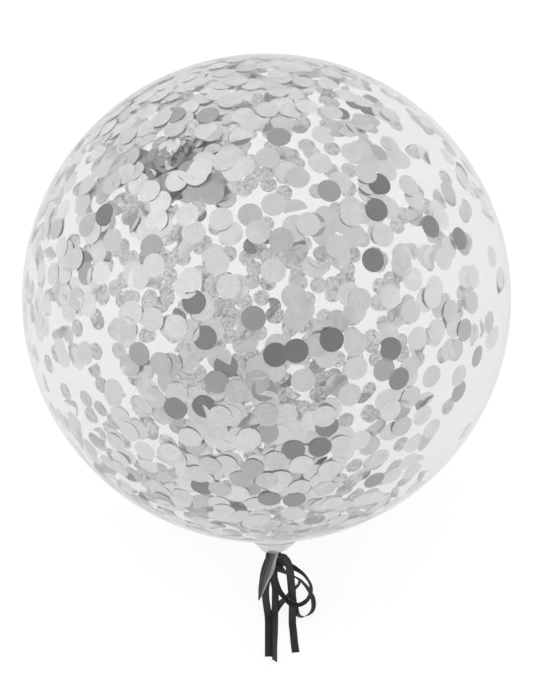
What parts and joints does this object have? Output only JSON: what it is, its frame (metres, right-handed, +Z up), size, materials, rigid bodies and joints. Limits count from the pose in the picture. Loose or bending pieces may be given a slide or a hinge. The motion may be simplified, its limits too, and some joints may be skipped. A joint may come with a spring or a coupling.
{
  "type": "confetti balloon",
  "caption": "Clear ball balloon with flat silver foil confetti inside, tied at the neck with black ribbon that falls in loops and tails; it lies on a small flat spot.",
  "frame": {"origin": "middle of the small flat spot that the ball lies on", "axes": "+Z up; the tied neck points towards -Y and down at 45 degrees, leaning 2 degrees to +X"},
  "size_m": [0.6, 0.6359, 0.5984],
  "materials": {
    "film": "clear glossy stretched film",
    "ribbon": "matt black woven ribbon",
    "confetti": "satin silver metallised film"
  },
  "bodies": {
    "root": {"balloon": "film", "ribbon_knot": "ribbon", "ribbon_tail_right": "ribbon", "ribbon_tail_left": "ribbon", "ribbon_tail_middle": "ribbon", "ribbon_tail_short": "ribbon", "ribbon_loop_large": "ribbon", "ribbon_loop_small": "ribbon"}
  },
  "joints": []
}
